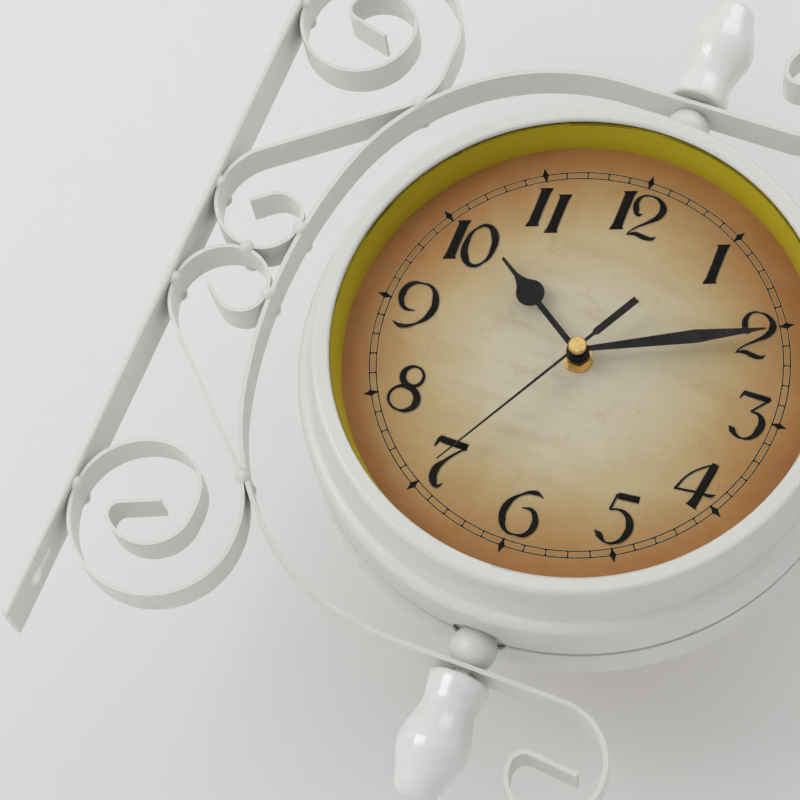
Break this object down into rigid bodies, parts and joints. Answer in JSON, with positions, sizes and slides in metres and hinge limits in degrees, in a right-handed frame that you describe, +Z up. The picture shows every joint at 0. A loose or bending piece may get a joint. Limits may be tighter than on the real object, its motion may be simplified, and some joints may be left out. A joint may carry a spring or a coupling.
{
  "type": "double sided station clock",
  "caption": "Double sided round wall clock that swivels on a vertical pivot inside a scrolled flat strap wall bracket, with a glazed hinged dial on each face.",
  "frame": {"origin": "centre of the wall plate's wall face, half way up the plate", "axes": "+X leaves the wall towards the clock, +Z is up, the front dial faces -Y and the rear dial +Y"},
  "size_m": [0.3058, 0.1012, 0.3848],
  "materials": {
    "white_paint": "satin",
    "finial_white": "gloss",
    "steel": "plated",
    "clear_glass": "polished",
    "black_rubber": "matt",
    "olive_liner": "satin",
    "printed_dial": "printed",
    "black_plastic": "moulded",
    "battery_wrap": "printed film",
    "brass": "turned",
    "black_hands": "satin black"
  },
  "bodies": {
    "bracket": {"wall_plate": "white_paint", "ring_strap": "white_paint", "upper_scroll": "white_paint", "lower_scroll": "white_paint", "weld_beads": "white_paint", "upper_ball": "white_paint", "upper_stud": "steel", "upper_finial": "finial_white", "lower_ball": "white_paint", "lower_stud": "steel", "lower_finial": "finial_white", "stud_nuts": "steel"},
    "case": {"drum_band": "white_paint", "pivot_bridges": "white_paint", "drum_hinge_leaf_front": "white_paint", "drum_hinge_leaf_rear": "white_paint"},
    "front_door": {"bezel_front": "white_paint", "glass_front": "clear_glass", "gasket_front": "black_rubber", "liner_front": "olive_liner", "dial_front": "printed_dial", "backing_plate_front": "white_paint", "retaining_ring_front": "steel", "door_hinge_leaf_front": "white_paint", "hinge_pin_front": "steel", "door_screw_front": "steel", "movement_case_front": "black_plastic", "battery_front": "battery_wrap", "rubber_washer_front": "black_rubber", "bush_front": "brass", "dial_nut_front": "brass"},
    "front_second": {"second_hand_front": "black_hands", "second_arbor_front": "brass"},
    "front_minute": {"minute_hand_front": "black_hands", "minute_tube_front": "brass"},
    "front_hour": {"hour_hand_front": "black_hands", "hour_tube_front": "brass"},
    "front_set_knob": {"set_knob_front": "black_plastic"},
    "rear_door": {"bezel_rear": "white_paint", "glass_rear": "clear_glass", "gasket_rear": "black_rubber", "liner_rear": "olive_liner", "dial_rear": "printed_dial", "backing_plate_rear": "white_paint", "retaining_ring_rear": "steel", "door_hinge_leaf_rear": "white_paint", "hinge_pin_rear": "steel", "door_screw_rear": "steel", "movement_case_rear": "black_plastic", "battery_rear": "battery_wrap", "rubber_washer_rear": "black_rubber", "bush_rear": "brass", "dial_nut_rear": "brass"},
    "rear_second": {"second_hand_rear": "black_hands", "second_arbor_rear": "brass"},
    "rear_minute": {"minute_hand_rear": "black_hands", "minute_tube_rear": "brass"},
    "rear_hour": {"hour_hand_rear": "black_hands", "hour_tube_rear": "brass"},
    "rear_set_knob": {"set_knob_rear": "black_plastic"}
  },
  "joints": [
    {"name": "case_swivel", "type": "hinge", "parent": "bracket", "child": "case", "pos_m": [0.184, 0, -0.0095], "axis": [0, 0, 1], "range_deg": [-90, 90]},
    {"name": "front_door_hinge", "type": "hinge", "parent": "case", "child": "front_door", "pos_m": [0.0648, 0, -0.0095], "axis": [0, 0, -1], "range_deg": [0, 65]},
    {"name": "front_second_turn", "type": "hinge", "parent": "front_door", "child": "front_second", "pos_m": [0.184, 0, -0.0095], "axis": [0, 1, 0], "continuous": true},
    {"name": "front_minute_turn", "type": "hinge", "parent": "front_door", "child": "front_minute", "pos_m": [0.184, 0, -0.0095], "axis": [0, 1, 0], "continuous": true},
    {"name": "front_hour_turn", "type": "hinge", "parent": "front_door", "child": "front_hour", "pos_m": [0.184, 0, -0.0095], "axis": [0, 1, 0], "continuous": true},
    {"name": "front_knob_turn", "type": "hinge", "parent": "front_door", "child": "front_set_knob", "pos_m": [0.184, 0, 0.0025], "axis": [0, 1, 0], "continuous": true},
    {"name": "rear_door_hinge", "type": "hinge", "parent": "case", "child": "rear_door", "pos_m": [0.3032, 0, -0.0095], "axis": [0, 0, -1], "range_deg": [0, 110]},
    {"name": "rear_second_turn", "type": "hinge", "parent": "rear_door", "child": "rear_second", "pos_m": [0.184, 0, -0.0095], "axis": [0, -1, 0], "continuous": true},
    {"name": "rear_minute_turn", "type": "hinge", "parent": "rear_door", "child": "rear_minute", "pos_m": [0.184, 0, -0.0095], "axis": [0, -1, 0], "continuous": true},
    {"name": "rear_hour_turn", "type": "hinge", "parent": "rear_door", "child": "rear_hour", "pos_m": [0.184, 0, -0.0095], "axis": [0, -1, 0], "continuous": true},
    {"name": "rear_knob_turn", "type": "hinge", "parent": "rear_door", "child": "rear_set_knob", "pos_m": [0.184, 0, 0.0025], "axis": [0, -1, 0], "continuous": true}
  ],
  "couplings": [
    {"joint": "front_minute_turn", "follows": "front_second_turn", "ratio": 0.016667},
    {"joint": "front_hour_turn", "follows": "front_second_turn", "ratio": 0.0013889},
    {"joint": "front_knob_turn", "follows": "front_second_turn", "ratio": -0.05},
    {"joint": "rear_minute_turn", "follows": "rear_second_turn", "ratio": 0.016667},
    {"joint": "rear_hour_turn", "follows": "rear_second_turn", "ratio": 0.0013889},
    {"joint": "rear_knob_turn", "follows": "rear_second_turn", "ratio": -0.05}
  ]
}
